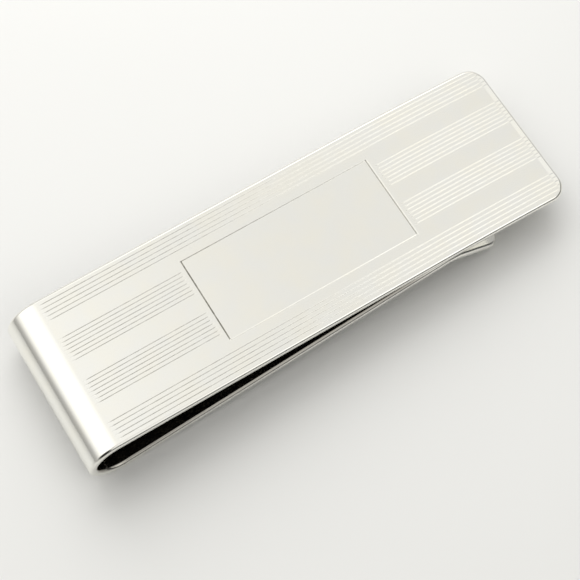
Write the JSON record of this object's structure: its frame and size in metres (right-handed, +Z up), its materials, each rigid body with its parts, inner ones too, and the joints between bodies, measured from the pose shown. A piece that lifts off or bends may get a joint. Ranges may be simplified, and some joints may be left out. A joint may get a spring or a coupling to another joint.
{
  "type": "money clip",
  "caption": "Folded strip of polished silver sheet with an engraved front panel, a blank cartouche and a springy rear leg that grips banknotes.",
  "frame": {"origin": "middle of the bounding box, on the surface that the clip stands on", "axes": "+X from the fold to the panel's free end, +Y across the strip, +Z up, away from the surface the clip stands on"},
  "size_m": [0.0556, 0.0172, 0.0069],
  "materials": {
    "engraved_silver": "polished sterling silver, engraved with fine lines and a plain cartouche",
    "polished_silver": "mirror-polished sterling silver"
  },
  "bodies": {
    "front": {"front_panel": "engraved_silver", "fold_upper": "polished_silver"},
    "fold": {"fold_lower": "polished_silver"},
    "leg_root": {"rear_leg_root": "polished_silver"},
    "leg_middle": {"rear_leg_middle": "polished_silver"},
    "leg_front": {"rear_leg_front": "polished_silver", "pinch_bend": "polished_silver", "flared_tip": "polished_silver"}
  },
  "joints": [
    {"name": "fold_flex", "type": "hinge", "parent": "fold", "child": "front", "pos_m": [-0.02781, 0, 0.00359], "axis": [0, -1, 0], "range_deg": [0, 3], "stiffness_Nm_per_rad": 23.3},
    {"name": "leg_root_flex", "type": "hinge", "parent": "leg_root", "child": "fold", "pos_m": [-0.02405, 0, 0.00002], "axis": [0, -1, 0], "range_deg": [0, 3]},
    {"name": "leg_middle_flex", "type": "hinge", "parent": "leg_middle", "child": "leg_root", "pos_m": [-0.0121, 0, 0.00112], "axis": [0, -1, 0], "range_deg": [0, 2.7]},
    {"name": "leg_front_flex", "type": "hinge", "parent": "leg_middle", "child": "leg_front", "pos_m": [-0.00015, 0, 0.00222], "axis": [0, 1, 0], "range_deg": [0, 1.5]}
  ],
  "couplings": [
    {"joint": "leg_root_flex", "follows": "fold_flex", "ratio": 1},
    {"joint": "leg_middle_flex", "follows": "fold_flex", "ratio": 0.9},
    {"joint": "leg_front_flex", "follows": "fold_flex", "ratio": 0.5}
  ]
}
